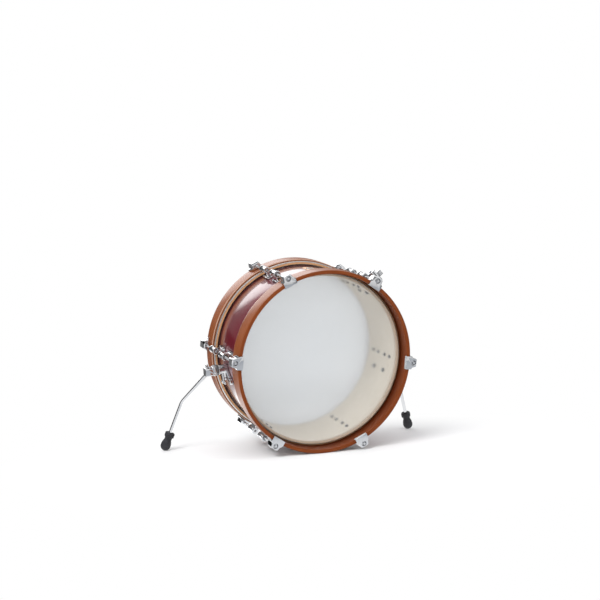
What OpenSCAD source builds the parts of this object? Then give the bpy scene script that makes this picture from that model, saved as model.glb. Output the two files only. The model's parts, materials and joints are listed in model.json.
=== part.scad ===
// Bass drum, 18 inch by 7 inch, with six tension points on each side, two folding spurs
// and an accessory bracket. Millimetres.
//
// The drum is drawn level, with its axis along Y, the player's (batter) side at -Y and the
// shell centre at the origin. placed() then leans it back until it rests on the batter hoop
// and both spur feet, with the floor at Z = 0.
// Hardware is drawn in the local frame of its own spot on the shell:
// X points out from the shell, Y along the drum's axis, Z round the shell.

/* [Shell] */
// Outside diameter of the covered shell
shell_d = 456; // [440:2:470]
// Wall thickness of the ply shell
shell_wall = 6.4; // [5:0.1:8]
// Thickness of the glued covering
cover_t = 0.6; // [0.4:0.1:1]
// Depth of the shell along its axis
shell_depth = 178; // [170:1:200]

/* [Hoops] */
// Width of a wooden hoop along the drum's axis
hoop_w = 46; // [40:1:50]
// Thickness of a wooden hoop
hoop_t = 10; // [9:0.5:11]
// Gap between the covered shell and the inside of a wooden hoop
hoop_gap = 4; // [4:0.5:5]
// How far a wooden hoop overlaps the end of the shell
hoop_overlap = 5; // [4:0.5:6]

/* [Tension] */
// Number of tension points on each side
lug_count = 6; // [6]
// Angle of the first tension point below the horizontal
lug_turn = 3.4; // [2.6:0.1:3.6]
// Radius of the thread of a tension rod
rod_r = 2.9; // [2.5:0.1:3]
// Distance from the middle of the shell to the middle of a lug
lug_y = 35; // [33:1:38]
// Distance between the two screws of a lug
lug_pitch = 30; // [28:1:32]

/* [Spurs] */
// Angle of the spur brackets below the horizontal
spur_angle = 7; // [5:1:9]
// Position of the spur brackets along the drum's axis
spur_y = 2; // [0:1:3]
// Angle by which a spur leg splays outwards
leg_splay = 25; // [22:1:30]
// Angle of the upper part of a spur leg below its forward direction
leg_lean = 47; // [42:1:52]
// Angle of the lower part of a spur leg below its forward direction
foot_lean = 82; // [78:1:86]
// Length of the upper part of a spur leg, from the holder to the bend
leg_upper = 139; // [130:1:145]
// Radius of a spur leg
leg_r = 4.75; // [4.5:0.05:5]
// Radius of the round end of a rubber foot
foot_r = 13.5; // [13:0.5:14]
// Angle by which the drum leans back at rest
lean_back = 6.3; // [5.8:0.1:6.8]

/* [Accessory bracket] */
// Angle of the bracket above the horizontal
bracket_angle = 49; // [44:1:49]
// Position of the bracket along the drum's axis
bracket_y = -30; // [-34:1:-24]
// Radius of the clamp's bore
clamp_bore_r = 5.3; // [5:0.1:5.6]

/* [Hidden] */
$fn = 48;
fn_big = 240;

// Colours
wood = "#9a5a34";
ply = "#d8c9b0";
red = "#6a1624";
chrome = "#c9ccd2";
steel = "#9a9da2";
black = "#2c2b2f";
clear = "#e4e7ea";

// Shell and heads
shell_r = shell_d / 2;
ply_r = shell_r - cover_t;
bore_r = ply_r - shell_wall;
edge_y = shell_depth / 2;
bevel = 4.6;
film_t = 0.5;
film_gap = 1.1;
film_r = shell_r + film_gap;
flesh_y = 74;
flesh_r = 230;
flesh_t = 8;

// Wooden hoops
hoop_in = shell_r + hoop_gap;
hoop_r = hoop_in + hoop_t;
hoop_y = edge_y - hoop_overlap;
hoop_end = hoop_y + hoop_w;
hoop_round = 2.5;

// Tension hardware
rod_axis = hoop_r + 9;
gasket_t = 0.8;
liner_t = 0.8;
lug_end = lug_y + 20;
nut_depth = 16;
nut_r = 5.4;
nut_flange_r = 6.8;
web_len = 34;
web_w = 13;
web_shift = 2;
screw_r = 2;
claw_w = 35;
claw_wall = 3.5;
claw_back = hoop_end - 26;
claw_front = hoop_end + liner_t + claw_wall;
claw_top = rod_axis + 9;
claw_in = hoop_in - 2.4;
seat_y = hoop_end - 4;
washer_t = 1;
fit = 0.06;
loose = 0.3;

// Spur bracket
boss_end = shell_r + 26;
ratchet_t = 6;
holder_x = boss_end + ratchet_t + loose;
block_x = holder_x + 6.5;
block_end = block_x + 23;
pivot_r = 4;
pivot_start = shell_r + 7;
disc_r = 14.5;
screw_drop = 7.4;
screw_spread = 28;
swing_bolt_x = shell_r + 13;
leg_at = [(block_x + block_end) / 2, spur_y, 0];
leg_head = 13;
leg_bolt_at = leg_at + [3.5, 3.5, 0];

// Unit vector of a leg that leans and splays
function leg_dir(lean) =
    [sin(leg_splay), cos(leg_splay) * cos(lean), -cos(leg_splay) * sin(lean)];
upper_dir = leg_dir(leg_lean);
lower_dir = leg_dir(foot_lean);
bend_at = leg_at + leg_upper * upper_dir;

// Height above the floor of the drum's axis, and of a point or a direction in a spur's frame
axis_h = (hoop_r - hoop_round) * cos(lean_back) + (hoop_end - hoop_round) * sin(lean_back)
    + hoop_round;
function rise(p) =
    p[1] * sin(lean_back) + (p[2] * cos(spur_angle) - p[0] * sin(spur_angle)) * cos(lean_back);
leg_lower = (foot_r - axis_h - rise(bend_at)) / rise(lower_dir);
foot_at = bend_at + leg_lower * lower_dir;
foot_top = 27;
ring_h = 11;

// Accessory bracket
clamp_x = shell_r + 42;
clamp_turn = 84;
clamp_r = 12;
clamp_h = 38;
post_end = clamp_x - clamp_r * sin(clamp_turn) - clamp_h / 2 * cos(clamp_turn) - 0.5;
bracket_pitch = 44;
ear_x = 17;
key_y = 13;

// Leans the level drum back and lifts it onto the floor
module placed() translate([0, 0, axis_h]) rotate([lean_back, 0, 0]) children();

// A spot on the shell, at an angle above the right-hand horizontal
module at_angle(a) rotate([0, -a, 0]) children();

// side 1 is the front of the drum, side -1 the batter side
module on_side(side) mirror([0, side < 0 ? 1 : 0, 0]) children();

// side 1 is the right-hand spur seen from the player, side -1 the left-hand one
module spur_frame(side) mirror([side < 0 ? 1 : 0, 0, 0]) at_angle(-spur_angle) children();

// The six tension points of one side
function lug_angle(i) = i * 360 / lug_count - lug_turn;
module at_lugs() for (i = [0:lug_count - 1]) at_angle(lug_angle(i)) children();

// Solid of revolution about Y, from [radius, y] points
module turned(points, fn = $fn) rotate([-90, 0, 0]) rotate_extrude($fn = fn) polygon(points);

// Cylinders along one axis, from a start to an end
module rod_x(r, x0, x1) translate([x0, 0, 0]) rotate([0, 90, 0]) cylinder(h = x1 - x0, r = r);
module rod_y(r, y0, y1) translate([0, y0, 0]) rotate([-90, 0, 0]) cylinder(h = y1 - y0, r = r);
module rod_z(r, z0, z1) translate([0, 0, z0]) cylinder(h = z1 - z0, r = r);

// A flat outline in Y and Z, extruded along X
module plate_x(x0, x1) translate([x0, 0, 0]) rotate([90, 0, 90]) linear_extrude(x1 - x0) children();

// A flat outline in X and Z, extruded along Y
module plate_y(y0, y1) translate([0, y1, 0]) rotate([90, 0, 0]) linear_extrude(y1 - y0) children();

// Points Z along a direction
module along(d) rotate([0, acos(d[2]), atan2(d[1], d[0])]) children();

// Outline with round ends
module stadium(length, width) {
    square([length - width, width], center = true);
    for (s = [-1, 1]) translate([s * (length - width) / 2, 0]) circle(d = width);
}

// Corners of a rectangle between points a and b, with each corner rounded
function rounded(a, b, r, n = 4) = [
    for (c = [[b[0] - r, b[1] - r, 0], [a[0] + r, b[1] - r, 90],
              [a[0] + r, a[1] + r, 180], [b[0] - r, a[1] + r, 270]])
    for (i = [0:n]) [c[0] + r * cos(c[2] + 90 * i / n), c[1] + r * sin(c[2] + 90 * i / n)]
];

// Everything inside a radius about the drum's axis
module inside(r) rod_y_big(r, -shell_depth, shell_depth);
module rod_y_big(r, y0, y1)
    translate([0, y0, 0]) rotate([-90, 0, 0]) cylinder(h = y1 - y0, r = r, $fn = fn_big);

// Holes through the shell and its covering
module shell_holes() {
    for (side = [-1, 1]) at_lugs() for (s = [-1, 1])
        translate([0, side * (lug_y + s * lug_pitch / 2), 0]) rod_x(2.5, bore_r - 9, shell_r + 9);
    for (side = [-1, 1]) spur_frame(side) at_angle(-screw_drop) for (s = [-1, 1])
        translate([0, spur_y + s * screw_spread, 0]) rod_x(2.9, bore_r - 9, shell_r + 9);
    at_angle(bracket_angle) for (s = [-1, 1])
        translate([0, bracket_y + s * bracket_pitch / 2, 0]) rod_x(2.9, bore_r - 9, shell_r + 9);
    at_angle(90) rod_x(6.5, bore_r - 9, shell_r + 9);
}

module shell() color(ply) placed() difference() {
    turned([[bore_r, bevel - edge_y], [bore_r + bevel, -edge_y], [ply_r - 1, -edge_y],
            [ply_r, 1.5 - edge_y], [ply_r, edge_y - 1.5], [ply_r - 1, edge_y],
            [bore_r + bevel, edge_y], [bore_r, edge_y - bevel]], fn_big);
    shell_holes();
}

module shell_covering() color(red) placed() difference() {
    turned([[ply_r, 4 - edge_y], [shell_r, 4 - edge_y], [shell_r, edge_y - 4],
            [ply_r, edge_y - 4]], fn_big);
    shell_holes();
}

// Eyelet through the shell that lets the air out
module air_vent() color(chrome) placed() at_angle(90) difference() {
    union() {
        rod_x(6.4, bore_r - 1.6, shell_r + 0.8);
        rod_x(10, shell_r + 0.75, shell_r + 2);
        rod_x(9, bore_r - 1.6, bore_r - 0.3);
    }
    rod_x(4.8, bore_r - 3, shell_r + 3);
}

module maker_plate() color(steel) placed() at_angle(90) difference() {
    intersection() {
        plate_x(shell_r - 4, shell_r + 3) stadium(50, 28);
        inside(shell_r + 0.65);
    }
    inside(shell_r + 0.05);
    rod_x(6.5, shell_r - 5, shell_r + 5);
}

// Clear film with a collar that is crimped into the flesh hoop
module head_film() turned([
    [0, edge_y], [ply_r - 0.8, edge_y], [film_r - 0.5, edge_y - 2.6], [film_r, flesh_y + 4],
    [film_r, flesh_y + 3], [flesh_r + 4, flesh_y + 3], [flesh_r + 4, flesh_y + 3 + film_t],
    [film_r + film_t, flesh_y + 3 + film_t], [film_r + film_t, flesh_y + 6],
    [film_r, edge_y - 2.3], [ply_r - 0.6, edge_y + film_t], [0, edge_y + film_t]], fn_big);

module batter_head() color(clear) placed() on_side(-1) head_film();
module front_head() color(clear) placed() on_side(1) head_film();

// Metal channel that holds the edge of a film
module flesh_hoop() difference() {
    turned(rounded([flesh_r, flesh_y], [flesh_r + flesh_t, hoop_y], 1.5, 3), fn_big);
    turned([[flesh_r - 1, flesh_y + 2.9], [flesh_r + 4.1, flesh_y + 2.9],
            [flesh_r + 4.1, flesh_y + 3.6], [flesh_r - 1, flesh_y + 3.6]], fn_big);
}

module batter_flesh_hoop() color(steel) placed() on_side(-1) flesh_hoop();
module front_flesh_hoop() color(steel) placed() on_side(1) flesh_hoop();

module counter_hoop() turned(rounded([hoop_in, hoop_y], [hoop_r, hoop_end], hoop_round), fn_big);

module batter_hoop() color(wood) placed() on_side(-1) counter_hoop();
module front_hoop() color(wood) placed() on_side(1) counter_hoop();

// One lug casting: a foot on the shell, a web, and a barrel for the swivel nut
module lug() difference() {
    union() {
        translate([0, lug_y, 0]) {
            plate_x(shell_r - 3, shell_r + 4.5) stadium(46, 21);
            translate([0, web_shift, 0]) plate_x(shell_r - 3, rod_axis - 3.5)
                stadium(web_len, web_w);
        }
        translate([rod_axis, lug_y, 0]) turned([
            [0, -15], [8.4, -15], [9.2, -14], [9.2, -11], [7.6, -8], [7.6, 10], [9.6, 15],
            [9.6, 19], [8.8, 20], [0, 20]]);
    }
    inside(shell_r + gasket_t);
    translate([rod_axis, 0, 0]) rod_y(rod_r + loose, lug_y - 25, lug_end + 5);
    translate([rod_axis, 0, 0]) rod_y(nut_r + 0.1, lug_end - nut_depth, lug_end + 5);
    for (s = [-1, 1]) translate([0, lug_y + s * lug_pitch / 2, 0])
        rod_x(screw_r + 0.1, shell_r - 5, shell_r + 10);
}

module batter_lugs() color(chrome) placed() on_side(-1) at_lugs() lug();
module front_lugs() color(chrome) placed() on_side(1) at_lugs() lug();

// Curved seal between a piece of hardware and the shell
module seal() difference() {
    intersection() {
        children();
        inside(shell_r + gasket_t - 0.02);
    }
    inside(shell_r + 0.02);
}

module lug_gaskets() color(black) placed() for (side = [-1, 1]) on_side(side) at_lugs()
    difference() {
        seal() translate([0, lug_y, 0]) plate_x(shell_r - 6, shell_r + 6) stadium(47.4, 22.4);
        for (s = [-1, 1]) translate([0, lug_y + s * lug_pitch / 2, 0])
            rod_x(2.5, shell_r - 8, shell_r + 8);
    }

// Threaded nut that sits in the barrel of a lug
module swivel_nuts() color(steel) placed() for (side = [-1, 1]) on_side(side) at_lugs()
    translate([rod_axis, 0, 0]) turned([
        [rod_r + fit, lug_end - nut_depth + 0.1], [nut_r, lug_end - nut_depth + 0.1],
        [nut_r, lug_end + 0.1], [nut_flange_r, lug_end + 0.1], [nut_flange_r, lug_end + 1.6],
        [rod_r + fit, lug_end + 1.6]]);

// Screw from inside the shell, with a hexagonal head, and the washer under it
module inner_screw(r, reach) {
    rod_x(r, bore_r - 1.2, shell_r + reach);
    rod_x(r * 2, bore_r - 4.4, bore_r - 1.2, $fn = 6);
}
module inner_washer(r) difference() {
    rod_x(r * 2.6, bore_r - 1.15, bore_r - 0.1);
    rod_x(r + 0.3, bore_r - 3, bore_r + 1);
}

module lug_screws() color(steel) placed() for (side = [-1, 1]) on_side(side) at_lugs()
    for (s = [-1, 1]) translate([0, lug_y + s * lug_pitch / 2, 0]) inner_screw(screw_r, 9);
module lug_washers() color(steel) placed() for (side = [-1, 1]) on_side(side) at_lugs()
    for (s = [-1, 1]) translate([0, lug_y + s * lug_pitch / 2, 0]) inner_washer(screw_r);

// One claw: a hook over the hoop's edge, with a boss for the tension rod
module claw() difference() {
    plate_y(claw_back, claw_front) polygon([
        [claw_in, -claw_w / 2], [hoop_r + 3, -claw_w / 2], [hoop_r + 5.5, -13],
        [claw_top - 2, -10.5], [claw_top, -8.5], [claw_top, 8.5], [claw_top - 2, 10.5],
        [hoop_r + 5.5, 13], [hoop_r + 3, claw_w / 2],
        [claw_in, claw_w / 2]]);
    turned([[hoop_in - liner_t, 0], [hoop_r + liner_t, 0],
            [hoop_r + liner_t, hoop_end + liner_t], [hoop_in - liner_t, hoop_end + liner_t]],
           fn_big);
    rod_y_big(hoop_in - liner_t + 0.1, 0, hoop_end - 7);
    translate([rod_axis, 0, 0]) rod_y(rod_r + 0.5, hoop_y, claw_front + 1);
    translate([rod_axis, 0, 0]) rod_y(7, seat_y, claw_front + 1);
    // corners cut back towards the lug, and slopes on the front and back of the boss
    for (s = [-1, 1]) plate_x(hoop_r - 5, claw_top + 1) polygon([
        [claw_back - 1, s * (claw_w / 2 + 1)], [claw_back + 15, s * (claw_w / 2 + 1)],
        [claw_back - 1, s * 11.5]]);
    for (cut = [[claw_back - 1, claw_back + 7, 5], [claw_front + 1, claw_front - 3, 3.5]])
        translate([0, 0, -claw_w]) linear_extrude(2 * claw_w) polygon([
            [claw_top + 1, cut[0]], [claw_top + 1, cut[1]], [claw_top - cut[2], cut[0]]]);
}

module batter_claws() color(chrome) placed() on_side(-1) at_lugs() claw();
module front_claws() color(chrome) placed() on_side(1) at_lugs() claw();

// Soft channel between a claw and the wood
module claw_liners() color(black) placed() for (side = [-1, 1]) on_side(side) at_lugs()
    intersection() {
        turned([[hoop_in - liner_t + 0.1, hoop_end - 6], [hoop_in, hoop_end - 6],
                [hoop_in, hoop_end], [hoop_r, hoop_end], [hoop_r, claw_back + 14],
                [hoop_r + liner_t - 0.1, claw_back + 14],
                [hoop_r + liner_t - 0.1, hoop_end + liner_t - 0.1],
                [hoop_in - liner_t + 0.1, hoop_end + liner_t - 0.1]], fn_big);
        translate([hoop_in - 5, 0, -claw_w / 2 + 0.5]) cube([30, 200, claw_w - 1]);
    }

module rod_washers() color(steel) placed() for (side = [-1, 1]) on_side(side) at_lugs()
    translate([rod_axis, 0, 0]) difference() {
        rod_y(6.4, seat_y + 0.02, seat_y + washer_t);
        rod_y(rod_r + 0.5, seat_y - 1, seat_y + washer_t + 1);
    }

// Key rod with a flange and a square head
module tension_rod(side, i)
    color(chrome) placed() on_side(side) at_angle(lug_angle(i - 1))
    translate([rod_axis, 0, 0]) {
        rod_y(rod_r, lug_y - 8, seat_y + washer_t + 1);
        rod_y(5.6, seat_y + washer_t + 0.2, seat_y + washer_t + 1.9);
        translate([-3, seat_y + washer_t + 1, -3]) cube([6, 8.4, 6]);
    }

module batter_tension_rod(i) tension_rod(-1, i);
module front_tension_rod(i) tension_rod(1, i);

// Outline of a spur base on the shell: two screw feet joined to the pivot boss
module spur_outline(grow) translate([spur_y, 0]) {
    circle(r = 12 + grow);
    for (s = [-1, 1]) {
        translate([s * screw_spread, -screw_drop * shell_r * PI / 180]) circle(r = 9.5 + grow);
        rotate(s > 0 ? -46.5 : 226.5) translate([0, -6.5 - grow]) square([40, 13 + 2 * grow]);
    }
}

module spur_base(side) color(chrome) placed() spur_frame(side) difference() {
    union() {
        intersection() {
            plate_x(shell_r - 8, shell_r + 11) spur_outline(0);
            inside(shell_r + 8);
        }
        translate([0, spur_y, 0]) rod_x(12, shell_r - 2, boss_end);
        translate([0, spur_y, 0]) rod_x(13.2, boss_end - 5, boss_end);
    }
    inside(shell_r + gasket_t);
    translate([0, spur_y, 0]) rod_x(pivot_r + fit, pivot_start - 1, boss_end + 1);
    translate([swing_bolt_x, spur_y, 0]) rod_z(3 + fit, -40, -pivot_r);
    at_angle(-screw_drop) for (s = [-1, 1])
        translate([0, spur_y + s * screw_spread, 0]) rod_x(2.6, shell_r - 5, shell_r + 6.5);
}

module left_spur_base() spur_base(-1);
module right_spur_base() spur_base(1);

module spur_gaskets() color(black) placed() for (side = [-1, 1]) spur_frame(side) difference() {
    seal() plate_x(shell_r - 12, shell_r + 8) spur_outline(0.7);
    at_angle(-screw_drop) for (s = [-1, 1])
        translate([0, spur_y + s * screw_spread, 0]) rod_x(2.9, shell_r - 8, shell_r + 8);
}

module spur_base_screws() color(steel) placed() for (side = [-1, 1]) spur_frame(side)
    at_angle(-screw_drop) for (s = [-1, 1])
        translate([0, spur_y + s * screw_spread, 0]) inner_screw(2.5, 6);
module spur_base_washers() color(steel) placed() for (side = [-1, 1]) spur_frame(side)
    at_angle(-screw_drop) for (s = [-1, 1])
        translate([0, spur_y + s * screw_spread, 0]) inner_washer(2.5);

// Serrated disc, with grooves round its rim
module index_disc(x0, x1) difference() {
    rod_x(disc_r, x0, x1);
    for (i = [0:23]) rotate([i * 15, 0, 0]) translate([0, 0, disc_r + 0.3])
        rod_x(1.1, x0 - 1, x1 + 1);
}

module spur_ratchet(side) color(steel) placed() spur_frame(side) translate([0, spur_y, 0])
    difference() {
        index_disc(boss_end + 0.02, boss_end + ratchet_t);
        rod_x(pivot_r + fit, boss_end - 1, holder_x);
    }

module left_spur_ratchet() spur_ratchet(-1);
module right_spur_ratchet() spur_ratchet(1);

// Pin that is fixed in the holder and turns in the base
module spur_pivot(side) color(steel) placed() spur_frame(side) translate([0, spur_y, 0])
    rod_x(pivot_r, pivot_start, block_x + 0.5);

module left_spur_pivot() spur_pivot(-1);
module right_spur_pivot() spur_pivot(1);

// Block that holds the leg, with the moving half of the index disc on its inner face
module spur_holder(side) color(chrome) placed() spur_frame(side) difference() {
    translate([0, spur_y, 0]) {
        index_disc(holder_x, block_x + 0.5);
        intersection() {
            translate([block_x, -12, -10.5]) cube([block_end - block_x, 24, 21]);
            rod_x(14.3, block_x - 1, block_end + 1);
        }
    }
    translate([0, spur_y, 0]) rod_x(pivot_r, holder_x - 1, block_x + 0.5);
    translate(leg_at) along(upper_dir) rod_z(leg_r + fit, -30, 30);
    translate(leg_bolt_at) rod_z(2.5 + fit, 0, 20);
}

module left_spur_holder() spur_holder(-1);
module right_spur_holder() spur_holder(1);

// T-bolt that locks the pivot pin
module spur_swing_bolt(side) color(chrome) placed() spur_frame(side)
    translate([swing_bolt_x, spur_y, 0]) {
        rod_z(3, -36, -pivot_r - 1.2);
        rod_z(4.6, -38.5, -31);
        translate([0, 0, -36]) rod_y(2.8, -11.5, 11.5);
        for (s = [-1, 1]) translate([0, s * 11.5, -36]) sphere(r = 3.4);
    }

module left_spur_swing_bolt() spur_swing_bolt(-1);
module right_spur_swing_bolt() spur_swing_bolt(1);

// Square-headed bolt that clamps the leg in the holder
module spur_leg_bolt(side) color(chrome) placed() spur_frame(side)
    translate(leg_bolt_at) {
        rod_z(2.5, 5.5, 13);
        rod_z(4.6, 10.8, 12.6);
        translate([-2.8, -2.8, 12]) cube([5.6, 5.6, 7]);
    }

module left_spur_leg_bolt() spur_leg_bolt(-1);
module right_spur_leg_bolt() spur_leg_bolt(1);

// Bent rod that ends in a spike
module spur_leg(side) color(chrome) placed() spur_frame(side) {
    translate(leg_at) along(upper_dir) rod_z(leg_r, -leg_head, leg_upper);
    translate(bend_at) sphere(r = leg_r + 0.2);
    translate(foot_at) along(-lower_dir) rotate_extrude() polygon([
        [0, -9], [0.6, -9], [3, -3], [3, 10.5], [leg_r, 12], [leg_r, leg_lower], [0, leg_lower]]);
}

module left_spur_leg() spur_leg(-1);
module right_spur_leg() spur_leg(1);

// Rubber foot with a round end and a hole for the spike
module spur_foot(side) color(black) placed() spur_frame(side)
    translate(foot_at) along(-lower_dir) rotate_extrude() polygon(concat(
        [for (a = [-75.4:9.425:0.1]) foot_r * [cos(a), sin(a)]],
        [[foot_r, 4], [12.9, 9], [11.4, 14], [9.6, 18], [9.2, 21], [10.4, 23.5], [11, foot_top],
         [leg_r + 0.3, foot_top], [leg_r + 0.3, -4], [3.4, -8]]));

module left_spur_foot() spur_foot(-1);
module right_spur_foot() spur_foot(1);

// Lobed ring that locks the rubber foot
module foot_ring(side) color(black) placed() spur_frame(side)
    translate(foot_at) along(-lower_dir) translate([0, 0, foot_top + 0.02]) difference() {
        union() {
            cylinder(h = ring_h - 1.5, r = 13.2);
            translate([0, 0, ring_h - 1.5]) cylinder(h = 1.5, r1 = 13.2, r2 = 11.6);
        }
        for (i = [0:7]) rotate([0, 0, i * 45]) translate([15.4, 0, -1]) cylinder(h = 20, r = 4.2);
        translate([0, 0, -1]) cylinder(h = 20, r = leg_r + 0.3);
    }

module left_foot_ring() foot_ring(-1);
module right_foot_ring() foot_ring(1);

module bracket_frame() placed() at_angle(bracket_angle) translate([0, bracket_y, 0]) children();

module accessory_base() color(chrome) bracket_frame() difference() {
    union() {
        intersection() {
            plate_x(shell_r - 4, shell_r + 8) stadium(68, 26);
            translate([0, -bracket_y, 0]) inside(shell_r + 5.5);
        }
        rod_x(11, shell_r - 2, post_end);
        plate_x(shell_r - 2, shell_r + 13) stadium(44, 12);
    }
    translate([0, -bracket_y, 0]) inside(shell_r + gasket_t);
    for (s = [-1, 1]) translate([0, s * bracket_pitch / 2, 0]) rod_x(2.6, shell_r - 5, shell_r + 9);
}

module accessory_gasket() color(black) bracket_frame() difference() {
    translate([0, -bracket_y, 0]) seal() translate([0, bracket_y, 0])
        plate_x(shell_r - 8, shell_r + 6) stadium(69.4, 27.4);
    for (s = [-1, 1]) translate([0, s * bracket_pitch / 2, 0]) rod_x(2.9, shell_r - 8, shell_r + 8);
}

module accessory_screws() color(steel) bracket_frame() for (s = [-1, 1])
    translate([0, s * bracket_pitch / 2, 0]) {
        inner_screw(2.5, 8);
        inner_washer(2.5);
    }

// Split clamp for an arm, with two ears that the key bolt pulls together
module accessory_clamp() color(chrome) bracket_frame() difference() {
    union() {
        translate([clamp_x, 0, 0]) rotate([0, 90 - clamp_turn, 0]) {
            rod_z(clamp_r, -clamp_h / 2, clamp_h / 2);
            translate([0, -7.5, -7]) cube([ear_x + 5.5, 15, 14]);
        }
        rod_x(9, post_end, clamp_x - 6);
    }
    translate([clamp_x, 0, 0]) rotate([0, 90 - clamp_turn, 0]) {
        rod_z(clamp_bore_r, -clamp_h, clamp_h);
        translate([0, -1.25, -clamp_h]) cube([60, 2.5, 2 * clamp_h]);
        translate([ear_x, 0, 0]) rod_y(3 + fit, -20, 20);
    }
}

module accessory_key_bolt() color(chrome) bracket_frame()
    translate([clamp_x, 0, 0]) rotate([0, 90 - clamp_turn, 0]) translate([ear_x, 0, 0]) {
        rod_y(3, -7.4, key_y);
        rod_y(5.2, 7.8, key_y - 2);
        rod_y(4.3, key_y - 2.5, key_y);
        translate([-3, key_y - 1, -3]) cube([6, 9, 6]);
    }

shell();
shell_covering();
air_vent();
maker_plate();
batter_head();
front_head();
batter_flesh_hoop();
front_flesh_hoop();
batter_hoop();
front_hoop();
batter_lugs();
front_lugs();
lug_gaskets();
swivel_nuts();
lug_screws();
lug_washers();
batter_claws();
front_claws();
claw_liners();
rod_washers();
batter_tension_rod(1);  // batter_tension_rod_1
batter_tension_rod(2);  // batter_tension_rod_2
batter_tension_rod(3);  // batter_tension_rod_3
batter_tension_rod(4);  // batter_tension_rod_4
batter_tension_rod(5);  // batter_tension_rod_5
batter_tension_rod(6);  // batter_tension_rod_6
front_tension_rod(1);  // front_tension_rod_1
front_tension_rod(2);  // front_tension_rod_2
front_tension_rod(3);  // front_tension_rod_3
front_tension_rod(4);  // front_tension_rod_4
front_tension_rod(5);  // front_tension_rod_5
front_tension_rod(6);  // front_tension_rod_6
left_spur_base();
right_spur_base();
spur_gaskets();
spur_base_screws();
spur_base_washers();
left_spur_ratchet();
right_spur_ratchet();
left_spur_pivot();
right_spur_pivot();
left_spur_holder();
right_spur_holder();
left_spur_swing_bolt();
right_spur_swing_bolt();
left_spur_leg_bolt();
right_spur_leg_bolt();
left_spur_leg();
right_spur_leg();
left_spur_foot();
right_spur_foot();
left_foot_ring();
right_foot_ring();
accessory_base();
accessory_gasket();
accessory_screws();
accessory_clamp();
accessory_key_bolt();
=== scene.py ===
import json
import math

import bmesh
import bpy
from mathutils import Matrix, Vector

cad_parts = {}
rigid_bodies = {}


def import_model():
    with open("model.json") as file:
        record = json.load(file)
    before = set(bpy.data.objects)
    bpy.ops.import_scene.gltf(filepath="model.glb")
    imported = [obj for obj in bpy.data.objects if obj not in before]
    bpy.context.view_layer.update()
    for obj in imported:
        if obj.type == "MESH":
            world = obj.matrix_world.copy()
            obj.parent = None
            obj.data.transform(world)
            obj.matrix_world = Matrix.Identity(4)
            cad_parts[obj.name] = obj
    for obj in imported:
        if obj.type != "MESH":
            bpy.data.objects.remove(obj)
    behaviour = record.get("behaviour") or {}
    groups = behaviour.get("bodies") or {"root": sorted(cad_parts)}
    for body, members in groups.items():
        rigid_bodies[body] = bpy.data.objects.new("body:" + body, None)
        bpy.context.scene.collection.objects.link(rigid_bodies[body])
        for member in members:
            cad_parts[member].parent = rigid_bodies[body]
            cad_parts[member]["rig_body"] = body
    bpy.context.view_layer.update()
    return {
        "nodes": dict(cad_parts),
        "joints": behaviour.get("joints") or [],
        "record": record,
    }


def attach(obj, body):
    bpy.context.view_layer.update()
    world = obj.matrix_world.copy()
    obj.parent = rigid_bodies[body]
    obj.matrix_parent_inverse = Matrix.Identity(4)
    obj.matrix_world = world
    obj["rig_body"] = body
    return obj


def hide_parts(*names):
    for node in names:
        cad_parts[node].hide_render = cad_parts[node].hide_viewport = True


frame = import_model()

# ---------------------------------------------------------------- the drum's own frame
# The drum is level in its own frame, with its axis along Y and its centre at the origin.
# PLACE leans it back and lifts it onto the floor, as the CAD does. Blender works in metres.

MM = 0.001
JOINTS = {j["name"]: j for j in frame["joints"]}
SLOT_OF = {s["node"]: s["material_slot"] for s in frame["record"]["subparts"]}
ROD = {i: Vector(JOINTS[f"front_rod_{i}_turn"]["pos_m"]) for i in (1, 4)}
AXIS = JOINTS["front_rod_1_turn"]["axis"]
MIDDLE = (ROD[1] + ROD[4]) / 2
LEAN = math.atan2(AXIS[2], AXIS[1])
AXIS_H = MIDDLE.z - MIDDLE.y * math.tan(LEAN)
PLACE = Matrix.Translation((0, 0, AXIS_H)) @ Matrix.Rotation(LEAN, 4, "X")
ROD_AXIS_R = (ROD[1] - MIDDLE).length

# Radii and distances along the axis, in millimetres, as in the CAD
BORE_R, PLY_R, SHELL_R = 221, 227.4, 228
EDGE_Y = 89
HOOP_IN, HOOP_OUT = 232, 242
HOOP_BACK, HOOP_FRONT = 84, 130
CHANNEL_IN, CHANNEL_OUT = 229.9, 238
CHANNEL_BACK, CHANNEL_END = 74, 83.8
FILM_THICK = 0.35
ROD_R, THREAD_DEPTH = 2.9, 0.42
LEG_R = 4.75

# Angles round the shell, in degrees above the drum's right-hand side
LUG_TURN = math.degrees(math.asin((PLACE.inverted() @ ROD[1]).z / ROD_AXIS_R))
SPUR_SCREWS_AT = -14.4
ACCESSORY_AT = 49

# The floor's radius, and the bright spot that only mirrors see, in metres
FLOOR_R = 1.35
BRIGHT_SPOT = (-0.22, 0.33, 0)

SIDES = {"batter": -1, "front": 1}
SPURS = {"left": -1, "right": 1}


def body_of(node):
    """The CAD body that a node belongs to."""
    return frame["nodes"][node]["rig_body"]


# ---------------------------------------------------------------- node helpers

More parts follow.
